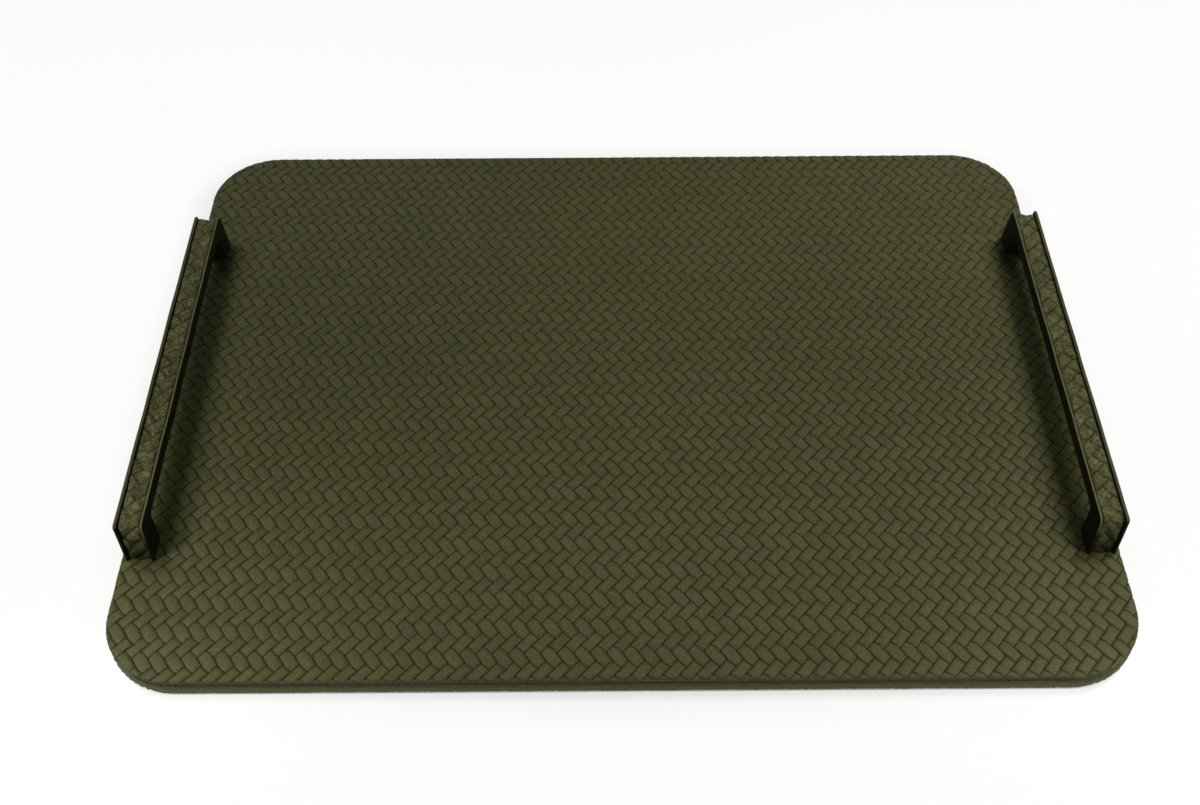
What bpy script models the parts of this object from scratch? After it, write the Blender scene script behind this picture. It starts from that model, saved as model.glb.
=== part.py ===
"""Serving tray: a board with round corners in a woven leather cover, with two arched handles.

X runs along the tray, Y across it from front to back, and Z up from the surface it stands on.
The origin is under the tray's centre. All sizes are in metres.
"""

import math

import bmesh
import bpy
from mathutils import Matrix, Vector

# Tray
TRAY_LENGTH = 0.550
TRAY_DEPTH = 0.400
TRAY_CORNER_RADIUS = 0.041
BOARD_THICKNESS = 0.008
COVER_THICKNESS = 0.0018
TOP_ROLL_RADIUS = 0.0030
BOTTOM_ROLL_RADIUS = 0.0008
TURN_IN_THICKNESS = 0.0010
TURN_IN_WIDTH = 0.022
LINING_THICKNESS = 0.0009
LINING_INSET = 0.0035

# Handles
HANDLE_LENGTH = 0.244
HANDLE_WIDTH = 0.016
HANDLE_HEIGHT = 0.0285
HANDLE_EDGE_INSET = 0.0033
HANDLE_FRONT_SHIFT = 0.005
HANDLE_CORNER_RADIUS = 0.0035
BAR_THICKNESS = 0.008
LEG_DEPTH = 0.015
LEG_SPLAY = 0.0035
FINGER_GAP_RADIUS = 0.0025
SIDE_PANEL_THICKNESS = 0.0018
SIDE_PANEL_EDGE_ROUND = 0.0004
LIP_HEIGHT = 0.0015
STRIP_THICKNESS = 0.0016
GRIP_LINING_THICKNESS = 0.0012
GRIP_LINING_RECESS = 0.0004

# Fasteners
SCREW_DIAMETER = 0.004
SCREW_HEAD_DIAMETER = 0.0078
SCREW_ENGAGEMENT = 0.009
SOCKET_WIDTH = 0.0025
SOCKET_DEPTH = 0.0016
INSERT_DIAMETER = 0.006
INSERT_LENGTH = 0.010
HEAD_ACCESS_CLEARANCE = 0.0010

# Fits and cuts
SEAT_GAP = 0.0003
CUT_OVERRUN = 0.002
MERGE_DISTANCE = 0.000001

# Counts of steps in round shapes
TRAY_CORNER_STEPS = 12
HANDLE_CORNER_STEPS = 6
ROLL_STEPS = 5
EDGE_ROUND_STEPS = 2
TURNED_STEPS = 24
SOCKET_SIDES = 6
SMOOTH_ANGLE = math.radians(35)

# Heights of the layers, from the underside up
COVER_BOTTOM = LINING_THICKNESS + SEAT_GAP
TURN_IN_TOP = COVER_BOTTOM + TURN_IN_THICKNESS
BOARD_BOTTOM = TURN_IN_TOP + SEAT_GAP
BOARD_TOP = BOARD_BOTTOM + BOARD_THICKNESS
CAVITY_TOP = BOARD_TOP + SEAT_GAP
TRAY_TOP = CAVITY_TOP + COVER_THICKNESS

# Layers of a handle, as insets from the outline of its side panels
STRIP_BACK = LIP_HEIGHT + STRIP_THICKNESS
CORE_INSET = STRIP_BACK + SEAT_GAP
GRIP_LINING_BACK = GRIP_LINING_RECESS + GRIP_LINING_THICKNESS
CORE_GAP_INSET = GRIP_LINING_BACK + SEAT_GAP
CORE_WIDTH = HANDLE_WIDTH - 2 * (SIDE_PANEL_THICKNESS + SEAT_GAP)
HANDLE_CENTRE_X = TRAY_LENGTH / 2 - HANDLE_EDGE_INSET - HANDLE_WIDTH / 2
LEG_LEAN = math.atan(LEG_SPLAY / HANDLE_HEIGHT)
LEG_CENTRE_FROM_END = (CORE_INSET + LEG_DEPTH - CORE_GAP_INSET) / 2
SCREW_Y = HANDLE_LENGTH / 2 - LEG_CENTRE_FROM_END - math.tan(LEG_LEAN) * INSERT_LENGTH / 2
SCREW_TIP = TRAY_TOP + SEAT_GAP + SCREW_ENGAGEMENT
SIDES = {"left": -1, "right": 1}
ENDS = {"front": -1, "back": 1}


def clear_scene():
    for obj in list(bpy.data.objects):
        bpy.data.objects.remove(obj, do_unlink=True)


def make_material(name, colour, roughness, metallic=0.0):
    material = bpy.data.materials.new(name)
    material.use_nodes = True
    shader = material.node_tree.nodes["Principled BSDF"]
    shader.inputs["Base Color"].default_value = (*colour, 1.0)
    shader.inputs["Roughness"].default_value = roughness
    shader.inputs["Metallic"].default_value = metallic
    material.diffuse_color = (*colour, 1.0)
    return material


def finish_object(name, bm, material=None, parent=None):
    """Closes a bmesh into a named object with its faces outwards."""
    bmesh.ops.remove_doubles(bm, verts=bm.verts, dist=MERGE_DISTANCE)
    bmesh.ops.recalc_face_normals(bm, faces=bm.faces)
    mesh = bpy.data.meshes.new(name)
    bm.to_mesh(mesh)
    bm.free()
    mesh.shade_smooth()
    mesh.set_sharp_from_angle(angle=SMOOTH_ANGLE)
    obj = bpy.data.objects.new(name, mesh)
    bpy.context.scene.collection.objects.link(obj)
    obj.parent = parent
    if material:
        mesh.materials.append(material)
    return obj


def cut(obj, cutter):
    """Takes the cutter's shape out of an object and leaves the cutter as a hidden guide."""
    cutter.hide_render = True
    cutter.display_type = "WIRE"
    modifier = obj.modifiers.new(cutter.name, "BOOLEAN")
    modifier.operation = "DIFFERENCE"
    modifier.solver = "EXACT"
    modifier.object = cutter


def rounded_corner(centre_x, centre_y, radius, start_angle, sweep, steps):
    points = []
    for step in range(steps + 1):
        angle = start_angle + sweep * step / steps
        points.append((centre_x + radius * math.cos(angle), centre_y + radius * math.sin(angle)))
    return points


def slab_mesh(inset, low, high):
    """A slab with the tray's outline drawn in by the inset, between two heights."""
    half_length = TRAY_LENGTH / 2 - inset
    half_depth = TRAY_DEPTH / 2 - inset
    radius = TRAY_CORNER_RADIUS - inset
    across = half_length - radius
    along = half_depth - radius
    outline = []
    for quarter, (sign_x, sign_y) in enumerate(((1, 1), (-1, 1), (-1, -1), (1, -1))):
        start = math.radians(90) * quarter
        outline += rounded_corner(sign_x * across, sign_y * along, radius, start,
                                  math.radians(90), TRAY_CORNER_STEPS)
    bm = bmesh.new()
    floor = bm.faces.new([bm.verts.new((x, y, low)) for x, y in outline])
    lifted = bmesh.ops.extrude_face_region(bm, geom=[floor])["geom"]
    verts = [item for item in lifted if isinstance(item, bmesh.types.BMVert)]
    bmesh.ops.translate(bm, verts=verts, vec=(0, 0, high - low))
    return bm


def round_rim(bm, height, radius, steps):
    """Rounds the edge loop that lies at one height of a slab."""
    bm.edges.ensure_lookup_table()
    rim = [edge for edge in bm.edges if all(abs(v.co.z - height) < MERGE_DISTANCE for v in edge.verts)]
    bmesh.ops.bevel(bm, geom=rim, offset=radius, offset_type="OFFSET", segments=steps,
                    profile=0.5, affect="EDGES", material=-1)


def arch_outline(half_length, height, radius, inset):
    """Points of an arch whose legs lean in as they rise, from one foot over the top to the other.

    The half length is taken at the foot of the arch. The inset draws the whole outline in.
    """
    radius = max(radius - inset, MERGE_DISTANCE)
    centre_z = height - inset - radius
    setback = inset / math.cos(LEG_LEAN)
    centre_y = half_length - setback - centre_z * math.tan(LEG_LEAN) - radius / math.cos(LEG_LEAN)
    foot = (half_length - setback - SEAT_GAP * math.tan(LEG_LEAN), SEAT_GAP)
    corner = rounded_corner(centre_y, centre_z, radius, LEG_LEAN, math.radians(90) - LEG_LEAN,
                            HANDLE_CORNER_STEPS)
    half = [foot] + corner
    return half + [(-y, z) for y, z in reversed(half)]


def handle_outline(inset):
    """The outer arch of a handle, drawn in from the side panels' outline."""
    return arch_outline(HANDLE_LENGTH / 2, HANDLE_HEIGHT, HANDLE_CORNER_RADIUS, inset)


def finger_gap_outline(setback):
    """The arch of the finger gap, set back into the handle from the side panels' outline."""
    return arch_outline(HANDLE_LENGTH / 2 - LEG_DEPTH, HANDLE_HEIGHT - BAR_THICKNESS,
                        FINGER_GAP_RADIUS, -setback)


def arch_band(name, outer, inner, side_a, side_b, material, parent):
    """A solid between two arches, from one X to another."""
    bm = bmesh.new()
    chain_edges = []
    for outline in (outer, inner):
        verts = [bm.verts.new((side_a, y, z)) for y, z in outline]
        chain_edges += [bm.edges.new(pair) for pair in zip(verts, verts[1:])]
    bridged = bmesh.ops.bridge_loops(bm, edges=chain_edges)
    moved = bmesh.ops.extrude_face_region(bm, geom=bridged["faces"])["geom"]
    verts = [item for item in moved if isinstance(item, bmesh.types.BMVert)]
    bmesh.ops.translate(bm, verts=verts, vec=(side_b - side_a, 0, 0))
    return finish_object(name, bm, material, parent)


def turned_mesh(profile, centres):
    """Solids turned from one profile of (radius, height), one at each (x, y) centre."""
    bm = bmesh.new()
    for x, y in centres:
        verts = [bm.verts.new((x + radius, y, height)) for radius, height in profile]
        edges = [bm.edges.new(pair) for pair in zip(verts, verts[1:])]
        bmesh.ops.spin(bm, geom=verts + edges, cent=(x, y, 0), axis=(0, 0, 1),
                       angle=math.radians(360), steps=TURNED_STEPS, use_merge=True)
    return bm


def rod_profile(radius, low, high):
    return [(0, low), (radius, low), (radius, high), (0, high)]


def countersunk_profile(growth, low, high):
    """A countersunk screw's profile, grown by a clearance, between two heights."""
    head_radius = SCREW_HEAD_DIAMETER / 2 + growth
    shank_radius = SCREW_DIAMETER / 2 + growth
    neck = BOARD_BOTTOM + head_radius - shank_radius
    profile = [(0, low), (head_radius, low)]
    if low < BOARD_BOTTOM:
        profile.append((head_radius, BOARD_BOTTOM))
    return profile + [(shank_radius, neck), (shank_radius, high), (0, high)]


def leg_centres(side):
    """Where the two legs of a handle stand on the tray."""
    return {label: (side * HANDLE_CENTRE_X, end * SCREW_Y - HANDLE_FRONT_SHIFT)
            for label, end in ENDS.items()}


def all_leg_centres():
    return [centre for side in SIDES.values() for centre in leg_centres(side).values()]


def make_materials():
    return {
        "board": make_material("board_wood", (0.42, 0.30, 0.18), 0.70),
        "cover": make_material("woven_olive_leather", (0.075, 0.073, 0.036), 0.55),
        "card": make_material("grey_card", (0.30, 0.29, 0.26), 0.85),
        "lining": make_material("brown_suede", (0.060, 0.050, 0.030), 0.95),
        "core": make_material("handle_wood", (0.36, 0.24, 0.14), 0.65),
        "panel": make_material("smooth_dark_leather", (0.012, 0.013, 0.009), 0.42),
        "strip": make_material("woven_strip_leather", (0.085, 0.080, 0.042), 0.55),
        "grip": make_material("dark_grip_leather", (0.015, 0.016, 0.011), 0.60),
        "brass": make_material("insert_brass", (0.72, 0.52, 0.22), 0.35, 1.0),
        "steel": make_material("screw_steel", (0.56, 0.56, 0.54), 0.32, 1.0),
    }


def make_board(materials):
    bm = slab_mesh(COVER_THICKNESS + SEAT_GAP, BOARD_BOTTOM, BOARD_TOP)
    board = finish_object("base_board", bm, materials["board"])
    profile = countersunk_profile(SEAT_GAP, BOARD_BOTTOM - CUT_OVERRUN, BOARD_TOP + CUT_OVERRUN)
    holes = turned_mesh(profile, all_leg_centres())
    cut(board, finish_object("board_screw_holes", holes))


def make_cover(materials):
    """Woven leather over the top, round the edge and turned in under the board."""
    bm = slab_mesh(0, COVER_BOTTOM, TRAY_TOP)
    round_rim(bm, TRAY_TOP, TOP_ROLL_RADIUS, ROLL_STEPS)
    round_rim(bm, COVER_BOTTOM, BOTTOM_ROLL_RADIUS, EDGE_ROUND_STEPS)
    cover = finish_object("woven_cover", bm, materials["cover"])
    cavity = slab_mesh(COVER_THICKNESS, TURN_IN_TOP, CAVITY_TOP)
    cut(cover, finish_object("cover_cavity", cavity))
    mouth = slab_mesh(TURN_IN_WIDTH, COVER_BOTTOM - CUT_OVERRUN, TURN_IN_TOP + CUT_OVERRUN)
    cut(cover, finish_object("turn_in_mouth", mouth))
    centres = all_leg_centres()
    shank = rod_profile(SCREW_DIAMETER / 2 + SEAT_GAP, BOARD_TOP, TRAY_TOP + CUT_OVERRUN)
    cut(cover, finish_object("cover_screw_holes", turned_mesh(shank, centres)))
    access = rod_profile(SCREW_HEAD_DIAMETER / 2 + HEAD_ACCESS_CLEARANCE,
                         COVER_BOTTOM - CUT_OVERRUN, BOARD_BOTTOM)
    cut(cover, finish_object("screw_access_holes", turned_mesh(access, centres)))


def make_underside(materials):
    """A card that levels the turned-in edge, and the suede lining that covers both."""
    card = slab_mesh(TURN_IN_WIDTH + SEAT_GAP, COVER_BOTTOM, TURN_IN_TOP)
    finish_object("infill_card", card, materials["card"])
    lining = slab_mesh(LINING_INSET, 0, LINING_THICKNESS)
    finish_object("underside_lining", lining, materials["lining"])


def make_core(name, materials, parent):
    """The handle's wooden arch, bored from below for its threaded inserts."""
    core = arch_band(name, handle_outline(CORE_INSET), finger_gap_outline(CORE_GAP_INSET),
                     -CORE_WIDTH / 2, CORE_WIDTH / 2, materials["core"], parent)
    bores = rod_profile(INSERT_DIAMETER / 2 + SEAT_GAP, SEAT_GAP - CUT_OVERRUN,
                        INSERT_LENGTH + 2 * SEAT_GAP)
    centres = [(0, -SCREW_Y), (0, SCREW_Y)]
    cutter = finish_object(name + "_bores", turned_mesh(bores, centres), parent=parent)
    cut(core, cutter)


def make_side_panel(name, side, materials, parent):
    """A smooth leather panel on one face of a handle; side is +1 towards +X."""
    outer_face = side * HANDLE_WIDTH / 2
    inner_face = side * (HANDLE_WIDTH / 2 - SIDE_PANEL_THICKNESS)
    panel = arch_band(name, handle_outline(0), finger_gap_outline(0), inner_face, outer_face,
                      materials["panel"], parent)
    bevel = panel.modifiers.new("edge_round", "BEVEL")
    bevel.width = SIDE_PANEL_EDGE_ROUND
    bevel.segments = EDGE_ROUND_STEPS
    bevel.limit_method = "ANGLE"
    bevel.angle_limit = SMOOTH_ANGLE
    bevel.use_clamp_overlap = True


def make_strip(name, materials, parent):
    """The woven strip between the lips, up one end, over the bar and down the other end."""
    arch_band(name, handle_outline(LIP_HEIGHT), handle_outline(STRIP_BACK),
              -CORE_WIDTH / 2, CORE_WIDTH / 2, materials["strip"], parent)


def make_grip_lining(name, materials, parent):
    """The plain strip that lines the finger gap."""
    arch_band(name, finger_gap_outline(GRIP_LINING_BACK), finger_gap_outline(GRIP_LINING_RECESS),
              -CORE_WIDTH / 2, CORE_WIDTH / 2, materials["grip"], parent)


def make_insert(name, centre, materials):
    """A threaded insert in a handle's leg, open at both ends."""
    low = TRAY_TOP + SEAT_GAP
    high = low + INSERT_LENGTH
    bore = SCREW_DIAMETER / 2 + SEAT_GAP
    wall = INSERT_DIAMETER / 2
    profile = [(bore, low), (wall, low), (wall, high), (bore, high), (bore, low)]
    finish_object(name, turned_mesh(profile, [centre]), materials["brass"])


def make_screw(name, centre, materials):
    """A countersunk socket screw, driven up through the board into an insert."""
    profile = countersunk_profile(0, BOARD_BOTTOM, SCREW_TIP)
    screw = finish_object(name, turned_mesh(profile, [centre]), materials["steel"])
    height = CUT_OVERRUN + SOCKET_DEPTH
    corner_radius = SOCKET_WIDTH / 2 / math.cos(math.pi / SOCKET_SIDES)
    place = Matrix.Translation(Vector((*centre, BOARD_BOTTOM - CUT_OVERRUN + height / 2)))
    socket = bmesh.new()
    bmesh.ops.create_cone(socket, cap_ends=True, segments=SOCKET_SIDES, radius1=corner_radius,
                          radius2=corner_radius, depth=height, matrix=place)
    cut(screw, finish_object(name + "_socket", socket))


def make_handle(label, side, materials):
    """One handle, built about its own centre and stood on the tray at one end."""
    place = bpy.data.objects.new(label + "_handle", None)
    bpy.context.scene.collection.objects.link(place)
    place.location = (side * HANDLE_CENTRE_X, -HANDLE_FRONT_SHIFT, TRAY_TOP)
    make_core(label + "_handle_core", materials, place)
    make_side_panel(label + "_outer_side_panel", side, materials, place)
    make_side_panel(label + "_inner_side_panel", -side, materials, place)
    make_strip(label + "_woven_strip", materials, place)
    make_grip_lining(label + "_grip_lining", materials, place)
    for end, centre in leg_centres(side).items():
        make_insert(f"{label}_{end}_insert", centre, materials)
        make_screw(f"{label}_{end}_screw", centre, materials)


def main():
    clear_scene()
    materials = make_materials()
    make_board(materials)
    make_cover(materials)
    make_underside(materials)
    for label, side in SIDES.items():
        make_handle(label, side, materials)
    bpy.context.view_layer.update()


main()
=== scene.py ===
"""Looks of the leather tray: woven cover, arched handles and suede underside, round the CAD frame.

All sizes are in metres, in the frame of the CAD: X along the tray, Y from front to back, Z up.
Only places and patterns inside the finishes are in millimetres.
"""

import math

import bmesh
import bpy
import numpy as np
from mathutils import Matrix, Vector


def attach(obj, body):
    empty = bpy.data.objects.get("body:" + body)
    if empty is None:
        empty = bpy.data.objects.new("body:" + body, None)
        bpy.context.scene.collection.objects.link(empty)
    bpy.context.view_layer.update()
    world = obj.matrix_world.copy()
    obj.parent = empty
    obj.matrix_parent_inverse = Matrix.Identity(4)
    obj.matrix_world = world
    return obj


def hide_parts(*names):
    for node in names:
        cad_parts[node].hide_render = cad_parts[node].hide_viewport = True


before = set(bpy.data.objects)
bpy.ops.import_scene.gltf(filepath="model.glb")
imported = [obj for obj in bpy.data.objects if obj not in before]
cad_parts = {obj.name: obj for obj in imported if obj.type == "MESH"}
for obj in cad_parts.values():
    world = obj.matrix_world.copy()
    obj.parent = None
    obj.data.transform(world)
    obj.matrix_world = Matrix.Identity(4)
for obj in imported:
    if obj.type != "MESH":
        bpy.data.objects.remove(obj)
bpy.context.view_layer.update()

SIDES = {"left": -1, "right": 1}
RIGHT_ANGLE = math.radians(90)
FULL_TURN = 2 * math.pi
SMOOTH_ANGLE = math.radians(38)
SHARP_ANGLE = math.radians(60)
MERGE_DISTANCE = 0.000001
MILLIMETRES = 1000.0

# Tray, as in the CAD
TRAY_LENGTH = 0.550
TRAY_DEPTH = 0.400
TRAY_CORNER_RADIUS = 0.041
TRAY_TOP = 0.0126
CREASE_RADIUS = 0.0018
BOTTOM_ROLL_RADIUS = 0.0008
COVER_BOTTOM = 0.0003
TURN_IN_SHOWN = 0.0060
TURN_IN_RISE = 0.0010
TURN_IN_RISE_LENGTH = 0.0024

# Lengths of the cover's way over the edge: roll, wall, roll at the foot, and all with the turn-in
ROLL_LENGTH = CREASE_RADIUS * RIGHT_ANGLE
WALL_HEIGHT = TRAY_TOP - CREASE_RADIUS - COVER_BOTTOM - BOTTOM_ROLL_RADIUS
FOOT_ROLL_LENGTH = BOTTOM_ROLL_RADIUS * RIGHT_ANGLE
SHEET_REACH = (CREASE_RADIUS + BOTTOM_ROLL_RADIUS) * RIGHT_ANGLE + WALL_HEIGHT + TURN_IN_SHOWN

# Suede lining of the underside, with one pressed line near its edge
LINING_THICKNESS = 0.0009
LINING_INSET = 0.0035
LINING_EDGE_ROUND = 0.00035
LINING_EDGE_SEGMENTS = 3
LINING_CORNER_SEGMENTS = 16
PRESSED_LINE_INSET = 0.0060
PRESSED_LINE_HALF_WIDTH = 0.0005
PRESSED_LINE_DEPTH = 0.00018

# Handles, as in the CAD
HANDLE_LENGTH = 0.244
HANDLE_WIDTH = 0.016
HANDLE_HEIGHT = 0.0285
HANDLE_CENTRE_X = 0.2637
HANDLE_FRONT_SHIFT = 0.005
OUTER_CORNER_RADIUS = 0.0022
INNER_CORNER_RADIUS = 0.0045
STRIP_CORNER_RADIUS = 0.0045
TIGHTEST_CORNER_SHARE = 0.25
BAR_THICKNESS = 0.008
LEG_DEPTH = 0.015
LEG_SPLAY = 0.0035
LEG_LEAN = math.atan(LEG_SPLAY / HANDLE_HEIGHT)
FINGER_GAP_RADIUS = 0.0025
SIDE_PANEL_THICKNESS = 0.0018
LIP_HEIGHT = 0.0015
GRIP_LINING_RECESS = 0.0004
GRIP_LINING_THICKNESS = 0.0012
CORE_WIDTH = 0.0118
FOOT_GAP = 0.00005

# Leather panels of the handles: rounded edges, and the slow waves of an edge cut by hand
PANEL_STEP = 0.0008
PANEL_EDGE_ROUND = 0.00072
PANEL_EDGE_SEGMENTS = 4
GRIP_EDGE_ROUND = 0.00025
HAND_CUT_SIZE = 0.00007
HAND_CUT_LENGTH = 0.013
HAND_CUT_BEND = (0.031, 2.0)
HAND_CUT_FINE_SHARE = 0.5
HAND_CUT_FINE_LENGTHS = (0.004, 0.008)
CREST_WAVE_LENGTH = 0.017
CREST_WAVE_BEND = (0.0071, 1.3)

# Weave of the cover: strips of one width cross at right angles, each over two and under two
STRIP_WIDTH = 0.00588
WEAVE_TURN = math.radians(45.4)
WEAVE_START = (0.0064, -0.0148)
WEAVE_REACH = 62
WEAVE_REPEAT = 4
STRETCH_SHARE = 0.0050
STRETCH_LENGTH = 9.0
BOW_LENGTH = 11.25
TOP_MARGIN = 0.0008
LATTICE_SLACK = 0.000001

# Relief of one strip: groove at its sides, ends that dive under, swelling over the ends it covers
GROOVE_DEPTH = 0.00044
GROOVE_HALF_WIDTH = 0.00036
STRIP_END_RADIUS = 0.0015
DIVE_DEPTH = 0.00016
DIVE_LENGTH = 0.0018
CROWN_DEPTH = 0.00024
SWELL_SHARE = 0.045
CROSSING_SWELL_SHARE = 0.070
PINCH_SHARE = 0.090
PINCH_WAYS = (1, 0, 0, -1)

# Cuts across a square of the rim's weave, and rings of faces inside a strip of the top's weave
SQUARE_LINES = (0.0, 0.07, 0.30, 0.50, 0.70, 0.93, 1.0)
RING_WIDTHS = (0.00034, 0.00105)

# Unevenness of strips laid by hand: a long wave and its bend, and the two lengths of a short wave
LONG_DRIFT = 0.00016
SHORT_DRIFT = 0.00010
DRIFT_X = (0.0113, (0.0171, 1.9), (0.0047, 0.0089))
DRIFT_Y = (0.0127, (0.0193, 2.3), (0.0053, -0.0081))

# Numbers that scatter the tone of the strips
TONE_STEPS = (12.9898, 78.233, 37.719)
TONE_WAVES = ((1.0, 0.0, 43758.5453), (1.37, 2.1, 24634.6345))

# Edge band: middle height and half width of its cove, of its pressed line and of the shade painted below its
# crease
BAND_FLATTENING = 0.80
BAND_COVE = (0.0088, 0.0024)
BAND_LINE = (0.0012, 0.00050)
BAND_SHADE = (0.0087, 0.0015)
BAND_COVE_DEPTH = 0.00085
BAND_LINE_DEPTH = 0.00030
BAND_SEAM_SHARE = 0.16

# What begins below some height of the band: that height, and the way down to its full size
FOOT_BULGE_TOP = (0.0065, 0.0035)
PAINTED_LIGHT_TOP = (0.0060, 0.0025)
GATHER_TOP = (0.0072, 0.0030)
FOOT_BULGE = 0.00045

# Streaks and gathers of the band: size, spacing, bends, and how weak they are along the sides
STREAK_DEPTH = 0.00010
STREAK_PITCH = 0.00055
STREAK_BENDS = ((0.021, 2.6), (0.0087, 1.7))
GATHER_DEPTH = 0.00050
GATHER_PITCH = 0.0040
GATHER_BEND = (0.0061, 2.2)
GATHER_SIDE_SHARE = 0.22
CORNER_ONSET = 4
PIT_START = 0.55

# How strongly each form of the band is painted darker as shade, and its lower part painted paler as light
BAND_SHADE_SHARE = 0.75
LINE_SHADE_SHARE = 0.80
STREAK_SHADE_SHARE = 0.20
PIT_SHADE_SHARE = 1.2
PAINTED_LIGHT_SHARE = 0.72
MOST_PAINTED_SHADE = 0.90

# Painted shadows on the cover beside the feet: place, reach each way and strength
PAINTED_FOOT_SHADOWS = {
    "far foot": (0.2560, 0.0985, 0.0048, 0.0130, 1.00),
    "near foot": (0.2560, -0.1320, 0.0110, 0.0050, 0.30),
}

# Woven strips of the handles
HANDLE_WEAVE_WIDTH = 0.0075
HANDLE_WEAVE_STARTS = {"left": (0.0010, -0.0044), "right": (0.0010, -0.0116)}
SPARE_SQUARES = 2
STRIP_RISE = 0.0004
STRIP_SHOULDER = 0.0007
STRIP_SHOULDER_DROP = 0.0009
STRIP_RELIEF_SHARE = 1.7
STRIP_CRUMPLE = 0.00050
CRUMPLE_LENGTHS = (0.0041, 0.0019)
CRUMPLE_BEND = (0.0093, 1.4)
FINE_CRUMPLE_SHARE = 0.6
FINE_CRUMPLE_LENGTHS = (0.0017, -0.0026)
STRIP_SEAM_SHARES = (0.60, 0.28)
STRIP_SEAM_LENGTHS = (0.0067, 0.0031)
STRIP_FOOT_SHADE = 0.85
STRIP_FOOT_LENGTH = 0.024
STRIP_MOST_PAINTED_SHADE = 0.95

# Leather: a pale tone for grain and for painted light, seam edges as shares of a strip's width, and the
# place and heights of the panels' top edges that are painted paler, partly as wear and partly as painted
# highlight, in millimetres
PALE_GRAIN_AND_PAINTED_LIGHT = (0.125, 0.122, 0.048, 1.0)
SEAM_CORNER = 0.20
SEAM_EDGES = (0.010, 0.105)
OPEN_SEAM_SHARE = 0.74
OUTER_PANEL_START = (264.0, 266.0)
CREST_HEIGHTS = (27.0, 37.0)
LIP_TOP_HEIGHTS = (39.7, 40.2)

# Floor: colours, how white the eye sees it, and how far from the tray that sets in, in millimetres
FLOOR_HALF_SIZE = 6.0
FLOOR_COLOUR = (0.78, 0.78, 0.775, 1.0)
GLOW_COLOUR = (1.0, 1.0, 0.992, 1.0)
GLOW_NEAR_SHARE = 0.60
GLOW_FAR_SHARE = 0.95
SHADOW_REACH = 30.0
CONTACT_REACH = 0.8

# Lamps: place, what they face, width, length, power in watts and how wide the beam is in degrees
LAMPS = {
    "left_lamp": ((-0.58, 0.14, 0.90), (-0.40, 0.07, 0.0), 0.14, 0.40, 0.78, 64),
    "right_lamp": ((0.55, 0.18, 0.90), (0.40, 0.09, 0.0), 0.14, 0.40, 1.12, 64),
    "centre_back_lamp": ((0.00, 0.30, 0.90), (0.00, 0.15, 0.0), 0.14, 0.14, 0.062, 28),
    "centre_front_lamp": ((0.00, 0.30, 0.90), (0.00, -0.15, 0.0), 0.14, 0.14, 0.058, 28),
    "back_left_lamp": ((-0.20, 0.55, 0.70), (-0.22, 0.21, 0.0), 0.14, 0.14, 0.037, 30),
    "back_right_lamp": ((0.20, 0.55, 0.70), (0.22, 0.21, 0.0), 0.14, 0.14, 0.047, 30),
    "front_lamp": ((0.00, -0.80, 0.60), (0.00, -0.20, 0.0), 0.40, 0.20, 1.45, 180),
    "front_left_lamp": ((-0.52, -0.26, 0.45), (-0.25, -0.26, 0.0), 0.14, 0.14, 0.31, 56),
    "front_right_lamp": ((0.52, -0.26, 0.45), (0.25, -0.26, 0.0), 0.14, 0.14, 0.26, 56),
}

# The world: dim for light, and plain white to the eye up to this share of the way up
WORLD_COLOUR = (1.0, 1.0, 1.0, 1.0)
WORLD_STRENGTH = 0.065
WHITE_SKY_TOP = (0.30, 0.45)

# Camera, fitted to the photo's outline of the tray
CAMERA_TARGET = Vector((-0.01094, -0.00949, 0.0))
CAMERA_DISTANCE = 0.7904
CAMERA_ELEVATION = math.radians(52.252)
CAMERA_AZIMUTH = math.radians(0.024)
CAMERA_ROLL = math.radians(-0.412)
CAMERA_LENS = 38.741
CAMERA_SENSOR = 36.0
CAMERA_CLIP_START = 0.01

# Sockets that a Mix node has for colours: the two that go in and the one that comes out
MIX_FIRST = 6
MIX_SECOND = 7
MIX_RESULT = 2


class Signal:
    """A value that varies over a surface, written in sums like a number."""

    def __init__(self, bench, socket):
        self.bench = bench
        self.socket = socket

    def maths(self, operation, *values):
        """One step of arithmetic, as a node."""
        return self.bench.node("ShaderNodeMath", {"operation": operation}, dict(enumerate(values)))

    def __add__(self, other):
        return self.maths("ADD", self, other)

    def __radd__(self, other):
        return self.maths("ADD", other, self)

    def __sub__(self, other):
        return self.maths("SUBTRACT", self, other)

    def __rsub__(self, other):
        return self.maths("SUBTRACT", other, self)

    def __mul__(self, other):
        return self.maths("MULTIPLY", self, other)

    def __rmul__(self, other):
        return self.maths("MULTIPLY", other, self)

    def least(self, other):
        return self.maths("MINIMUM", self, other)

    def most(self, other):
        return self.maths("MAXIMUM", self, other)

    def above(self, limit):
        return self.maths("GREATER_THAN", self, limit)

    def distance(self):
        return self.maths("ABSOLUTE", self)

    def root(self):
        return self.maths("SQRT", self)

    def rise(self, low, high):
        """From 0 at the low value to 1 at the high value, smoothly."""
        settings = {"interpolation_type": "SMOOTHSTEP"}
        values = {"Value": self, "From Min": low, "From Max": high}
        return self.bench.node("ShaderNodeMapRange", settings, values)


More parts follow.
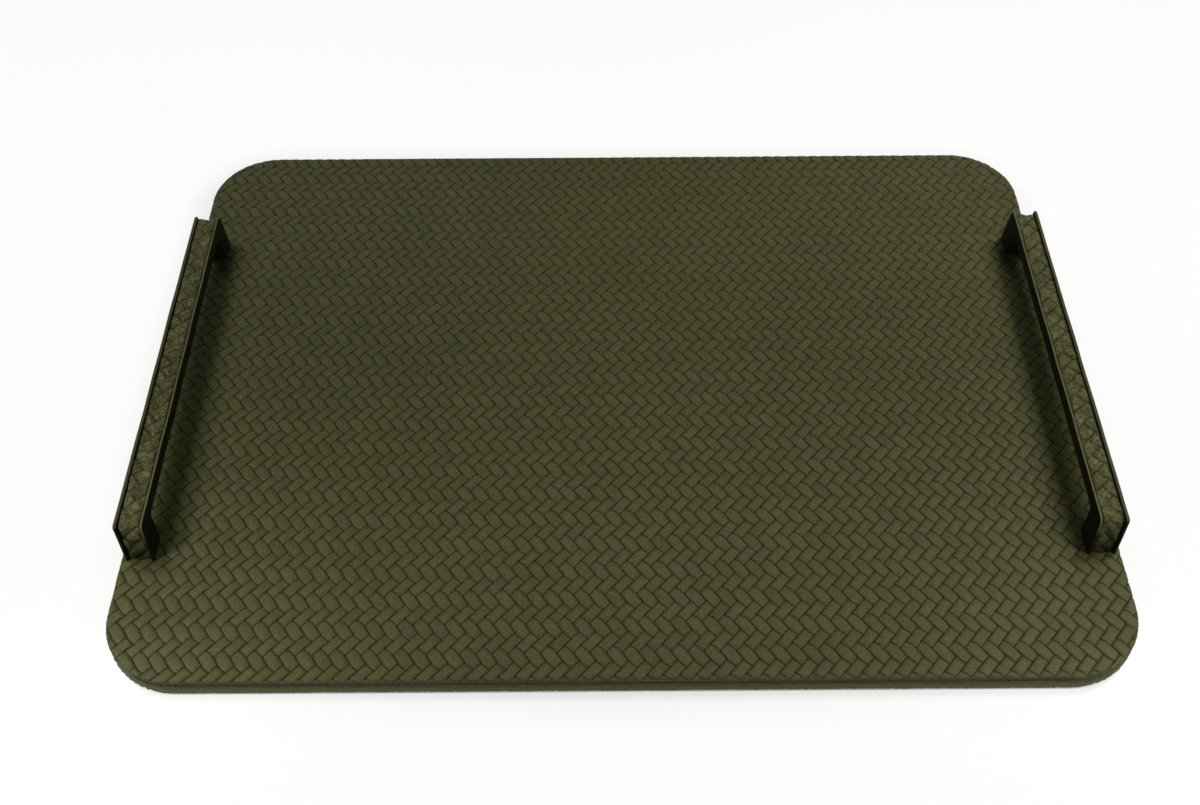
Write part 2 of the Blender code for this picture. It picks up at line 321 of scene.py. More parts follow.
class NodeBench:
    """Adds nodes to the tree of a material or of the world."""

    def __init__(self, tree):
        self.tree = tree

    def node(self, kind, settings=None, values=None, output=0):
        """Adds one node: its settings first, then the values or links of its sockets."""
        made = self.tree.nodes.new(kind)
        for key, value in (settings or {}).items():
            setattr(made, key, value)
        for key, value in (values or {}).items():
            if isinstance(value, Signal):
                self.tree.links.new(value.socket, made.inputs[key])
            else:
                made.inputs[key].default_value = value
        return Signal(self, made.outputs[output])

    def part(self, vector, axis):
        """One of the three numbers of a place or a direction."""
        return self.node("ShaderNodeSeparateXYZ", {}, {"Vector": vector}, output=axis)

    def seen(self):
        """1 for what the eye sees, straight or in gloss or glass, and 0 for light on its way."""
        straight, gloss, glass = [self.node("ShaderNodeLightPath", output=name)
                                  for name in ("Is Camera Ray", "Is Glossy Ray", "Is Transmission Ray")]
        return straight.most(gloss).most(glass)


class Finish(NodeBench):
    """A procedural material, made node by node."""

    def __init__(self, name, roughness, metallic=0.0, specular=0.5, sheen=0.0, sheen_roughness=0.5):
        self.material = bpy.data.materials.new(name)
        self.material.use_nodes = True
        super().__init__(self.material.node_tree)
        self.shader = self.tree.nodes["Principled BSDF"]
        even = {"Roughness": roughness, "Metallic": metallic, "Specular IOR Level": specular,
                "Sheen Weight": sheen, "Sheen Roughness": sheen_roughness}
        for socket, value in even.items():
            self.shader.inputs[socket].default_value = value

    def place(self, scale=(1.0, 1.0, 1.0), turn=(0.0, 0.0, 0.0)):
        """The piece's own coordinates, in millimetres when the scale is 1."""
        coordinates = self.node("ShaderNodeTexCoord", output="Object")
        scale = tuple(MILLIMETRES * share for share in scale)
        return self.node("ShaderNodeMapping", {}, {"Vector": coordinates, "Scale": scale, "Rotation": turn})

    def map_pair(self, name):
        """The two numbers of one of the piece's own maps."""
        pair = self.node("ShaderNodeUVMap", {"uv_map": name}, output="UV")
        return self.part(pair, "X"), self.part(pair, "Y")

    def speckle(self, place, size, detail=2.0, roughness=0.5, distortion=0.0):
        """Cloudy noise whose patches are about the given size in millimetres."""
        values = {"Vector": place, "Scale": 1.0 / size, "Detail": detail, "Roughness": roughness,
                  "Distortion": distortion}
        return self.node("ShaderNodeTexNoise", {}, values)

    def pores(self, place, size):
        """How far the place is from the walls of grain cells of about the given size in millimetres."""
        settings = {"feature": "DISTANCE_TO_EDGE"}
        return self.node("ShaderNodeTexVoronoi", settings, {"Vector": place, "Scale": 1.0 / size})

    def layers(self, colour, *coats):
        """Lays one colour after another over the first, each by its own share."""
        for share, coat in coats:
            values = {"Factor": share, MIX_FIRST: colour, MIX_SECOND: coat}
            colour = self.node("ShaderNodeMix", {"data_type": "RGBA"}, values, output=MIX_RESULT)
        return colour

    def set(self, name, signal):
        """Links a value to one of the shader's sockets."""
        self.tree.links.new(signal.socket, self.shader.inputs[name])

    def bump(self, height, strength, distance):
        """Fine relief, too small for the mesh."""
        values = {"Height": height, "Strength": strength, "Distance": distance}
        self.set("Normal", self.node("ShaderNodeBump", {}, values))


def paint(red, green, blue):
    """A linear colour for a shader's socket."""
    return (red, green, blue, 1.0)


def woven_leather(name, light, dark, brown, groove, crumple=0.0):
    """Leather strips: tone from strip to strip, fine grain, dark grooves that are partly dyed edges and
    partly painted shade, and painted light and shade from the piece's map.
    """
    finish = Finish(name, roughness=0.48, specular=0.10)
    along, across = finish.map_pair("cell")
    tone, hue = finish.map_pair("tone")
    soil, seam_share = finish.map_pair("soil")
    place = finish.place()
    side_edge = across.least(1.0 - across)
    end_edge = along.least(2.0 - along)
    covered = (along.above(1.0) - across.above(0.5)).distance()
    near_side = (SEAM_CORNER - side_edge).most(0.0)
    near_end = (SEAM_CORNER - end_edge).most(0.0)
    edge = SEAM_CORNER - (near_side * near_side + near_end * near_end).root()
    # Seams take the groove colour: partly dyed edges, partly painted shade in the grooves.
    seam = 1.0 - edge.rise(*SEAM_EDGES)
    seam = seam * (OPEN_SEAM_SHARE + (1.0 - OPEN_SEAM_SHARE) * covered) * seam_share
    # Each strip is painted darker near its sides: painted shade.
    pale_leather = side_edge.rise(0.04, 0.30)
    cloud = finish.speckle(place, 38.0, detail=3.0)
    grain = finish.speckle(place, 1.3, detail=4.0, roughness=0.65)
    fleck = finish.speckle(place, 0.80, detail=2.0, roughness=0.7)
    body = finish.layers(
        dark,
        (0.15 + tone * 0.40 + cloud * 0.50, light),
        (hue.rise(0.60, 1.0) * 0.28 + cloud.rise(0.55, 0.75) * 0.10, brown),
        (grain.rise(0.50, 0.70) * 0.30, PALE_GRAIN_AND_PAINTED_LIGHT),
        (grain.rise(0.50, 0.32) * 0.30, groove),
        (fleck.rise(0.50, 0.66) * 0.50, brown),
        (fleck.rise(0.48, 0.34) * 0.28, groove),
        ((1.0 - pale_leather) * 0.25, dark))
    fibres = finish.speckle(place, 0.45, detail=3.0, roughness=0.6)
    relief = fibres * 0.5 + finish.pores(place, 0.55).rise(0.0, 0.35) * 0.5
    if crumple:
        fold = finish.speckle(place, 5.5, detail=3.5, roughness=0.62, distortion=2.2)
        crease = 1.0 - (fold - 0.5).distance().rise(0.0, 0.05)
        patch = finish.speckle(place, 7.0, detail=2.0)
        # The crumple's creases are painted darker: painted shade.
        body = finish.layers(body, (patch.rise(0.48, 0.68) * (0.30 * crumple), brown),
                             (crease * (0.85 * crumple), dark))
        relief = relief + (fold - crease * 0.5) * (12.0 * crumple)
    # Above 0 the map paints shade in the groove colour, below 0 it paints light in the pale tone.
    painted_paler = (0.0 - soil).most(0.0)
    finish.set("Base Color", finish.layers(
        body, (seam, groove), (painted_paler, PALE_GRAIN_AND_PAINTED_LIGHT), (soil.most(0.0), groove)))
    finish.set("Roughness", 0.42 + grain * 0.10 + seam * 0.25 + soil.distance() * 0.45)
    finish.bump(relief, 0.40 + 0.4 * crumple, 0.00008 + 0.00006 * crumple)
    return finish.material


def smooth_leather(name, colour, pale_leather, top_edge_wear_and_highlight, roughness):
    """Plain dyed leather with a fine grain, slightly paler places of wear, and paler top edges that are
    partly wear and partly a painted highlight.
    """
    finish = Finish(name, roughness=roughness, specular=0.08)
    place = finish.place()
    cloud = finish.speckle(place, 14.0, detail=4.0)
    grain = finish.pores(place, 0.60).rise(0.0, 0.30)
    dust = finish.speckle(place, 1.2, detail=5.0, roughness=0.7)
    sideways = finish.part(finish.node("ShaderNodeNewGeometry", output="Normal"), "X").distance()
    outer = finish.part(place, "X").distance().rise(*OUTER_PANEL_START)
    height = finish.part(place, "Z")
    # The top edges are painted paler where they face up or round over: partly wear, partly painted
    # highlight.
    inner_edge = (1.0 - sideways.rise(0.20, 0.50)) * height.rise(*CREST_HEIGHTS) * (1.0 - outer)
    outer_edge = height.rise(*LIP_TOP_HEIGHTS) * sideways.rise(0.03, 0.14) * outer
    top_edge_wear_and_highlight_mask = inner_edge + outer_edge * 0.85
    finish.set("Base Color", finish.layers(
        colour,
        (cloud.rise(0.35, 0.70) * 0.7, pale_leather),
        (dust.rise(0.55, 0.80) * 0.5, pale_leather),
        (top_edge_wear_and_highlight_mask * (0.70 + 0.30 * cloud), top_edge_wear_and_highlight)))
    finish.set("Roughness", roughness - 0.06 + dust * 0.14)
    finish.bump(grain * 0.7 + dust * 0.3, 0.30, 0.00006)
    return finish.material


def suede(name, colour, pale):
    """Brushed suede: soft nap with paler strokes."""
    finish = Finish(name, roughness=0.95, specular=0.15, sheen=0.35, sheen_roughness=0.6)
    nap = finish.speckle(finish.place(), 0.35, detail=4.0, roughness=0.75)
    strokes = finish.speckle(finish.place(scale=(0.25, 1.0, 1.0), turn=(0.0, 0.0, 0.4)), 9.0, detail=5.0)
    finish.set("Base Color", finish.layers(
        colour, (strokes.rise(0.35, 0.72) * 0.75, pale), (nap.rise(0.45, 0.75) * 0.35, pale)))
    finish.set("Roughness", 0.86 + nap * 0.14)
    finish.bump(nap, 0.5, 0.00010)
    return finish.material


def bare_wood(name, pale, dark, along):
    """Planed wood whose grain runs along one axis."""
    finish = Finish(name, roughness=0.65, specular=0.30)
    place = finish.place(scale=tuple(0.06 if axis == along else 1.0 for axis in "XYZ"))
    rings = finish.speckle(place, 2.6, detail=3.0, roughness=0.55, distortion=0.8)
    pores = finish.speckle(place, 0.5, detail=2.0)
    finish.set("Base Color", finish.layers(
        pale, (rings.rise(0.35, 0.68), dark), (pores.rise(0.60, 0.75) * 0.4, dark)))
    finish.set("Roughness", 0.55 + rings * 0.2)
    finish.bump(rings * 0.4 + pores * 0.6, 0.3, 0.00008)
    return finish.material


def pressed_card(name, pale, dark):
    """Grey card with loose fibres."""
    finish = Finish(name, roughness=0.90, specular=0.20)
    fibres = finish.speckle(finish.place(), 0.7, detail=5.0, roughness=0.8, distortion=0.6)
    finish.set("Base Color", finish.layers(pale, (fibres.rise(0.35, 0.70), dark)))
    finish.set("Roughness", 0.85 + fibres * 0.12)
    finish.bump(fibres, 0.3, 0.00006)
    return finish.material


def turned_metal(name, colour, dull, roughness):
    """Machined metal with fine turning marks."""
    finish = Finish(name, roughness=roughness, metallic=1.0)
    marks = finish.speckle(finish.place(scale=(0.2, 0.2, 6.0)), 0.8, detail=3.0)
    stain = finish.speckle(finish.place(), 2.5, detail=3.0)
    finish.set("Base Color", finish.layers(colour, (stain.rise(0.45, 0.80) * 0.6, dull)))
    finish.set("Roughness", roughness - 0.05 + marks * 0.16)
    finish.bump(marks, 0.2, 0.00003)
    return finish.material


def bend(place, length, swing):
    """How far the crests of a wave are shifted, itself as a wave."""
    return swing * np.sin(place / length)


def slant(first, second, lengths):
    """How far on a wave is that runs aslant."""
    return first / lengths[0] + second / lengths[1]


def below(height, top, fade):
    """0 above the top, and 1 from a short way below it."""
    return np.clip((top - height) / fade, 0, 1)


def outline_distance(x, y):
    """Distance past the line where the top starts to roll over, and the way out from it."""
    half_x = TRAY_LENGTH / 2 - CREASE_RADIUS
    half_y = TRAY_DEPTH / 2 - CREASE_RADIUS
    radius = TRAY_CORNER_RADIUS - CREASE_RADIUS
    over_x = np.abs(x) - (half_x - radius)
    over_y = np.abs(y) - (half_y - radius)
    corner = (over_x > 0) & (over_y > 0)
    length = np.maximum(np.hypot(over_x, over_y), MERGE_DISTANCE)
    distance = np.where(corner, length, np.maximum(over_x, over_y)) - radius
    out_x = np.where(corner, over_x / length, (over_x >= over_y) * 1.0) * np.sign(x)
    out_y = np.where(corner, over_y / length, (over_x < over_y) * 1.0) * np.sign(y)
    return distance, out_x, out_y


def stretch(x, y):
    """How the sheet was pulled over the board: a little wider at the front, slightly bowed."""
    return x * (1 + STRETCH_SHARE - y / STRETCH_LENGTH), y - y * y / BOW_LENGTH


def drift(own, other, length, bend_of_other, short_lengths):
    """One way of the unevenness: a long wave that bends, and a short one that runs aslant."""
    return (LONG_DRIFT * np.sin(own / length + bend(other, *bend_of_other))
            + SHORT_DRIFT * np.sin(slant(other, own, short_lengths)))


def wander(x, y):
    """The small unevenness of strips that were laid by hand."""
    return x + drift(x, y, *DRIFT_X), y + drift(y, x, *DRIFT_Y)


def strip_directions():
    """The two ways in which the strips of the weave run."""
    along = np.array([math.cos(WEAVE_TURN), math.sin(WEAVE_TURN)])
    across = np.array([-math.sin(WEAVE_TURN), math.cos(WEAVE_TURN)])
    return along, across


def lattice_to_flat(points, start, width):
    """Places of lattice points on the flat sheet."""
    along, across = strip_directions()
    flat = np.outer(points[:, 0], along) * width + np.outer(points[:, 1], across) * width
    return flat[:, 0] + start[0], flat[:, 1] + start[1]


def mark_layers(bm):
    """The layers that name the strip of a face: its column, its row and whether it crosses."""
    stored = bm.faces.layers.int
    return [stored.get(name) or stored.new(name) for name in ("column", "row", "crossing")]


def face_marks(faces, layers):
    """Column, row and crossing of each face, as rows of an array."""
    return np.array([[face[layer] for layer in layers] for face in faces])


def weave_grid(reach):
    """Unit squares of the weave as a flat mesh, each marked with the strip that covers it."""
    bm = bmesh.new()
    bmesh.ops.create_grid(bm, x_segments=2 * reach, y_segments=2 * reach, size=reach)
    column, row, crossing = mark_layers(bm)
    for face in bm.faces:
        centre = face.calc_center_median()
        i = math.floor(centre.x)
        j = math.floor(centre.y)
        step = (i + j) % WEAVE_REPEAT
        face[crossing] = 0 if step < 2 else 1
        face[column] = i - (step == 1)
        face[row] = j - (step == 3)
    return bm


def draw_to_edges(points):
    """Draws the cuts of a square towards its edges, where the groove is."""
    whole = np.floor(points + LATTICE_SLACK)
    share = np.clip(points - whole, 0.0, 1.0)
    even = np.linspace(0.0, 1.0, len(SQUARE_LINES))
    return whole + np.interp(share, even, SQUARE_LINES)


def cut_squares(bm):
    """Cuts each unit square into small ones, closer together at its edges."""
    bmesh.ops.subdivide_edges(bm, edges=bm.edges, cuts=len(SQUARE_LINES) - 2, use_grid_fill=True)
    for vert in bm.verts:
        x, y = draw_to_edges(np.array(vert.co[:2]))
        vert.co = (x, y, 0)


def cell_place(points, marks):
    """Place along and across its own strip, for each point and the marks of its strip."""
    right = points[:, 0] - marks[:, 0]
    back = points[:, 1] - marks[:, 1]
    crossing = marks[:, 2] == 1
    return np.where(crossing, back, right), np.where(crossing, right, back)


def bulge(points, marks):
    """Strips swell out sideways over the ends that dive under them."""
    along, across = cell_place(points, marks)
    corner = np.floor(points + LATTICE_SLACK)
    share = points - corner
    pinches = PINCH_SHARE * np.array(PINCH_WAYS)
    pinch = 0
    for i in (0, 1):
        for j in (0, 1):
            weight = np.abs(1 - i - share[:, 0]) * np.abs(1 - j - share[:, 1])
            step = (corner[:, 0] + corner[:, 1] + i + j).astype(int) % WEAVE_REPEAT
            pinch = pinch + weight * pinches[step]
    crossing = marks[:, 2] == 1
    own = np.where(crossing, CROSSING_SWELL_SHARE, SWELL_SHARE)
    other = np.where(crossing, SWELL_SHARE, CROSSING_SWELL_SHARE)
    pushed_along = other * np.sin(math.pi * across) * (np.maximum(1 - along, 0) - np.maximum(along - 1, 0))
    swollen = own * (np.where(along > 1, np.sin(math.pi * (along - 1)) * across, 0)
                     - np.where(along < 1, np.sin(math.pi * along) * (1 - across), 0))
    moved = points.copy()
    moved[:, 0] += np.where(crossing, swollen, pushed_along) + pinch
    moved[:, 1] += np.where(crossing, pushed_along, swollen)
    return moved


def strip_height(along, across, width):
    """Height of a strip's surface below its crown: grooves at its sides, ends that dive."""
    side = np.minimum(across, 1 - across) * width
    end = np.minimum(along, 2 - along) * width
    near_side = np.maximum(STRIP_END_RADIUS - side, 0)
    near_end = np.maximum(STRIP_END_RADIUS - end, 0)
    edge = np.where((near_side > 0) & (near_end > 0),
                    STRIP_END_RADIUS - np.hypot(near_side, near_end), np.minimum(side, end))
    wall = np.clip(edge / GROOVE_HALF_WIDTH, 0, 1)
    wall = wall * wall * (3 - 2 * wall)
    dive = np.clip(1 - end / DIVE_LENGTH, 0, 1) ** 2
    crown = (2 * across - 1) ** 2
    return -GROOVE_DEPTH * (1 - wall) - DIVE_DEPTH * dive - CROWN_DEPTH * crown


def strip_tone(marks):
    """Two numbers from 0 to 1 for each strip's float, the same on every run."""
    seed = sum(marks[:, index] * step for index, step in enumerate(TONE_STEPS))
    scattered = [np.sin(seed * pace + start) * size for pace, start, size in TONE_WAVES]
    return [value - np.floor(value) for value in scattered]


def piece_from(bm, name, material):
    """Turns a finished bmesh into a smooth object of the scene."""
    mesh = bpy.data.meshes.new(name)
    bm.to_mesh(mesh)
    bm.free()
    mesh.shade_smooth()
    mesh.materials.append(material)
    piece = bpy.data.objects.new(name, mesh)
    bpy.context.scene.collection.objects.link(piece)
    return piece


def keep_piece(piece, slot, *nodes):
    """Puts a piece on the body, in place of CAD nodes. The slot that it is given is not used."""
    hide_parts(*nodes)
    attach(piece, "root")


def lay_weave(name, bm, start, width, place_points, material):
    """Gives a flat lattice mesh its relief and maps, and lays it in its place."""
    bm.verts.index_update()
    layers = mark_layers(bm)
    points = np.array([vert.co[:2] for vert in bm.verts])
    marks = face_marks([vert.link_faces[0] for vert in bm.verts], layers)
    along, across = cell_place(points, marks)
    height = strip_height(np.clip(along, 0, 2), np.clip(across, 0, 1), width)
    loop_verts = np.array([loop.vert.index for face in bm.faces for loop in face.loops])
    loop_marks = np.repeat(face_marks(bm.faces, layers), [len(face.loops) for face in bm.faces], axis=0)
    flat_x, flat_y = lattice_to_flat(bulge(points, marks), start, width)
    places, soil, seam_share = place_points(*wander(*stretch(flat_x, flat_y)), height)
    for vert, place in zip(bm.verts, places):
        vert.co = place
    piece = piece_from(bm, name, material)
    maps = {"cell": cell_place(points[loop_verts], loop_marks),
            "tone": strip_tone(loop_marks),
            "soil": (soil[loop_verts], seam_share[loop_verts])}
    for map_name, pair in maps.items():
        uv = piece.data.uv_layers.new(name=map_name)
        uv.data.foreach_set("uv", np.stack(pair, axis=1).ravel())
    return piece


def foot_shade(x, y):
    """The shadow painted on the cover beside each foot of the handles, 0 to 1."""
    shade = 0
    for away_x, away_y, reach_x, reach_y, share in PAINTED_FOOT_SHADOWS.values():
        spot_x = (np.abs(x) - away_x) / reach_x
        spot_y = (y - away_y) / reach_y
        shade = shade + share * np.exp(-(spot_x ** 2 + spot_y ** 2) ** 2)
    return shade


def edge_section(past):
    """The sheet past the start of the roll: way out, height, and which way its surface faces."""
    roll = np.clip(past / CREASE_RADIUS, 0, RIGHT_ANGLE)
    wall = np.clip(past - ROLL_LENGTH, 0, WALL_HEIGHT)
    turn = np.clip((past - ROLL_LENGTH - WALL_HEIGHT) / BOTTOM_ROLL_RADIUS, 0, RIGHT_ANGLE)
    under = np.maximum(past - ROLL_LENGTH - WALL_HEIGHT - FOOT_ROLL_LENGTH, 0)
    out = CREASE_RADIUS * np.sin(roll) - BOTTOM_ROLL_RADIUS * (1 - np.cos(turn)) - under
    z = TRAY_TOP - CREASE_RADIUS * (1 - np.cos(roll)) - wall - BOTTOM_ROLL_RADIUS * np.sin(turn)
    z = z + TURN_IN_RISE * np.clip(under / TURN_IN_RISE_LENGTH, 0, 1)
    facing_out = np.where(turn > 0, np.cos(turn), np.sin(roll))
    facing_up = np.where(turn > 0, -np.sin(turn), np.cos(roll))
    return out, z, facing_out, facing_up


def over_the_edge(x, y, height):
    """Lays the flat sheet on the top, over the roll, down the side and under the edge."""
    distance, out_x, out_y = outline_distance(x, y)
    past = np.maximum(distance, 0)
    base_x = x - out_x * past
    base_y = y - out_y * past
    out, z, facing_out, facing_up = edge_section(past)
    on_band = np.clip(past / ROLL_LENGTH, 0, 1)
    at_corner = np.clip(CORNER_ONSET * np.abs(out_x * out_y), 0, 1)
    around = np.arctan2(np.abs(out_y), np.abs(out_x)) * TRAY_CORNER_RADIUS
    around = around + (np.abs(x) - np.abs(y)) * (1 - at_corner)
    cove, line, shade = [on_band * np.exp(-((z - middle) / half_width) ** 2)
                         for middle, half_width in (BAND_COVE, BAND_LINE, BAND_SHADE)]
    streak_bends = bend(x + y, *STREAK_BENDS[0]) + bend(x - y, *STREAK_BENDS[1])
    streaks = on_band * np.sin(z / STREAK_PITCH + streak_bends)
    gathers = np.sin(around * FULL_TURN / GATHER_PITCH + bend(around, *GATHER_BEND))
    low = below(z, *GATHER_TOP) * (past > ROLL_LENGTH)
    gather_share = low * (GATHER_SIDE_SHARE + (1 - GATHER_SIDE_SHARE) * at_corner)
    relief = (height * (1 - BAND_FLATTENING * on_band)
              - BAND_COVE_DEPTH * cove - BAND_LINE_DEPTH * line + STREAK_DEPTH * streaks
              + FOOT_BULGE * below(z, *FOOT_BULGE_TOP) * on_band
              - GATHER_DEPTH * gather_share * (1 + gathers) / 2)
    pits = np.clip(-gathers - PIT_START, 0, 1) * low * at_corner
    # The band is painted darker below its crease, in its pressed line, on the ridges of its streaks and in
    # the pits of its gathers, and paler in the troughs of its streaks and low down: painted shade and
    # painted light. The shadows painted beside the feet are added where the sheet lies on the top.
    soil = (BAND_SHADE_SHARE * shade + LINE_SHADE_SHARE * line + STREAK_SHADE_SHARE * streaks
            + PIT_SHADE_SHARE * pits - PAINTED_LIGHT_SHARE * below(z, *PAINTED_LIGHT_TOP) * on_band
            + foot_shade(base_x, base_y) * (1 - on_band))
    places = np.stack([base_x + out_x * (out + relief * facing_out),
                       base_y + out_y * (out + relief * facing_out),
                       np.maximum(z + relief * facing_up, FOOT_GAP)], axis=1)
    return places, np.clip(soil, -1, MOST_PAINTED_SHADE), 1 - (1 - BAND_SEAM_SHARE) * on_band


def strip_reaches(marks):
    """How far past the start of the roll each strip comes, at most and at least."""
    reaches = {}
    for column, row, crossing in {tuple(mark) for mark in marks}:
        long_x, long_y = (1, 2) if crossing else (2, 1)
        spots = np.array([[column + long_x * a, row + long_y * b] for a in (0, 0.5, 1) for b in (0, 0.5, 1)])
        distance = outline_distance(*stretch(*lattice_to_flat(spots, WEAVE_START, STRIP_WIDTH)))[0]
        reaches[column, row, crossing] = (distance.max(), distance.min())
    return reaches


def join_top_strips(bm):
    """Makes one face of each strip's squares, with rings of faces along its groove."""
    layers = mark_layers(bm)
    inside = [edge for edge in bm.edges if len(edge.link_faces) == 2
              and all(edge.link_faces[0][layer] == edge.link_faces[1][layer] for layer in layers)]
    bmesh.ops.dissolve_edges(bm, edges=inside, use_verts=False)
    bmesh.ops.subdivide_edges(bm, edges=bm.edges, cuts=1)
    for width in RING_WIDTHS:
        whole = [face for face in bm.faces if len(face.verts) > 4]
        bmesh.ops.inset_individual(bm, faces=whole, thickness=width / STRIP_WIDTH)


def make_cover(material):
    """The woven cover in two pieces: flat top, and rim over the edge."""
    top = weave_grid(WEAVE_REACH)
    marks = face_marks(top.faces, mark_layers(top))
    reaches = strip_reaches(marks)
    spans = [reaches[tuple(mark)] for mark in marks]
    rim = top.copy()
    off_top = [face for face, (most, least) in zip(top.faces, spans) if most > -TOP_MARGIN]
    off_rim = [face for face, (most, least) in zip(rim.faces, spans)
               if most <= -TOP_MARGIN or least > SHEET_REACH]
    bmesh.ops.delete(top, geom=off_top, context="FACES")
    bmesh.ops.delete(rim, geom=off_rim, context="FACES")
    join_top_strips(top)
    cut_squares(rim)
    top_piece, rim_piece = [lay_weave(name, bm, WEAVE_START, STRIP_WIDTH, over_the_edge, material)
                            for name, bm in (("woven_cover_top", top), ("woven_cover_rim", rim))]
    for piece in (top_piece, rim_piece):
        keep_piece(piece, "woven_olive_leather", "woven_cover")


def arch_path(half_length, height, radius, inset):
    """A function from the length along half an arch to its place and outward way, and that length."""
    radius = max(radius - inset, radius * TIGHTEST_CORNER_SHARE)
    setback = inset / math.cos(LEG_LEAN)
    centre_z = height - inset - radius
    centre_y = half_length - setback - centre_z * math.tan(LEG_LEAN) - radius / math.cos(LEG_LEAN)
    leg_way = (math.cos(LEG_LEAN), math.sin(LEG_LEAN))
    foot = (half_length - setback - FOOT_GAP * math.tan(LEG_LEAN), FOOT_GAP)
    start_of_corner = (centre_y + radius * leg_way[0], centre_z + radius * leg_way[1])
    leg = math.dist(foot, start_of_corner)
    corner = radius * (RIGHT_ANGLE - LEG_LEAN)

    def at(length):
        if length < leg:
            return tuple(a + (b - a) * length / leg for a, b in zip(foot, start_of_corner)), leg_way
        if length < leg + corner:
            angle = LEG_LEAN + (length - leg) / radius
            way = (math.cos(angle), math.sin(angle))
            return (centre_y + radius * way[0], centre_z + radius * way[1]), way
        return (centre_y - (length - leg - corner), centre_z + radius), (0.0, 1.0)

    return at, leg + corner + centre_y


def arch_ring(half_length, height, radius, inset):
    """Points of a whole arch, from its front foot to its back foot."""
    at, half = arch_path(half_length, height, radius, inset)
    count = round(half / PANEL_STEP)
    places = [at(half * index / count)[0] for index in range(count + 1)]
    return [(-y, z) for y, z in places] + [(y, z) for y, z in reversed(places[:-1])]


def outer_ring(radius):
    """The outside of a handle, seen from its side."""
    return arch_ring(HANDLE_LENGTH / 2, HANDLE_HEIGHT, radius, 0.0)


def gap_ring(setback):
    """The finger gap of a handle, drawn back into the leather by a setback."""
    half_gap = HANDLE_LENGTH / 2 - LEG_DEPTH
    return arch_ring(half_gap, HANDLE_HEIGHT - BAR_THICKNESS, FINGER_GAP_RADIUS, -setback)


def resample(points, count):
    """The same path with a given number of points, evenly spaced."""
    path = np.array(points)
    length = np.concatenate([[0], np.cumsum(np.hypot(*np.diff(path, axis=0).T))])
    even = np.linspace(0, length[-1], count)
    return np.stack([np.interp(even, length, path[:, axis]) for axis in (0, 1)], axis=1)


def thicken(bm, faces, way):
    """Draws flat faces out into a closed body."""
    moved = bmesh.ops.extrude_face_region(bm, geom=faces)["geom"]
    verts = [item for item in moved if isinstance(item, bmesh.types.BMVert)]
    bmesh.ops.translate(bm, verts=verts, vec=way)
    bmesh.ops.recalc_face_normals(bm, faces=bm.faces)


def round_edges(bm, width, segments, lowest=-math.inf):
    """Rounds the sharp edges that lie above a height."""
    sharp = [edge for edge in bm.edges if len(edge.link_faces) == 2
             and edge.calc_face_angle(0) > SHARP_ANGLE
             and max(vert.co.z for vert in edge.verts) > lowest]
    bmesh.ops.bevel(bm, geom=sharp, offset=width, offset_type="OFFSET", segments=segments,
                    profile=0.5, affect="EDGES", material=-1, clamp_overlap=True)


def uneven(bm, size):
    """Moves a panel a little in slow waves, as if cut by hand."""
    for vert in bm.verts:
        y, z = vert.co.y, vert.co.z
        wave = math.sin(y / HAND_CUT_LENGTH + bend(y, *HAND_CUT_BEND))
        fine = math.sin(slant(z, y, HAND_CUT_FINE_LENGTHS))
        vert.co.x += size * (wave + HAND_CUT_FINE_SHARE * fine)
        if z > HANDLE_HEIGHT / 2:
            vert.co.z += size * math.sin(y / CREST_WAVE_LENGTH + bend(y, *CREST_WAVE_BEND))


def arch_piece(name, outer, inner, near_side, far_side, edge_round, material, place, unevenness=0.0):
    """A band between two arches, with its long edges rounded, moved to its place on the tray."""
    bm = bmesh.new()
    rings = []
    for outline in (outer, resample(inner, len(outer))):
        verts = [bm.verts.new((near_side, y, z)) for y, z in outline]
        rings += [bm.edges.new(pair) for pair in zip(verts, verts[1:])]
    bridged = bmesh.ops.bridge_loops(bm, edges=rings)
    thicken(bm, bridged["faces"], (far_side - near_side, 0, 0))
    round_edges(bm, edge_round, PANEL_EDGE_SEGMENTS, lowest=2 * FOOT_GAP)
    uneven(bm, unevenness)
    bmesh.ops.translate(bm, verts=bm.verts, vec=place)
    return piece_from(bm, name, material)


def trim_strip(bm, start, half_length, half_width):
    """Cuts the flat weave to the strip's straight sides and ends."""
    along, across = strip_directions()
    for (way_x, way_y), limit in (((0, 1), half_width), ((1, 0), half_length)):
        way = Vector((way_x * along[0] + way_y * along[1], way_x * across[0] + way_y * across[1], 0))
        for sign in (-1, 1):
            offset = (sign * limit - way_x * start[0] - way_y * start[1]) / HANDLE_WEAVE_WIDTH
            bmesh.ops.bisect_plane(bm, geom=bm.verts[:] + bm.edges[:] + bm.faces[:], plane_co=way * offset,
                                   plane_no=way * sign, clear_outer=True, dist=MERGE_DISTANCE)


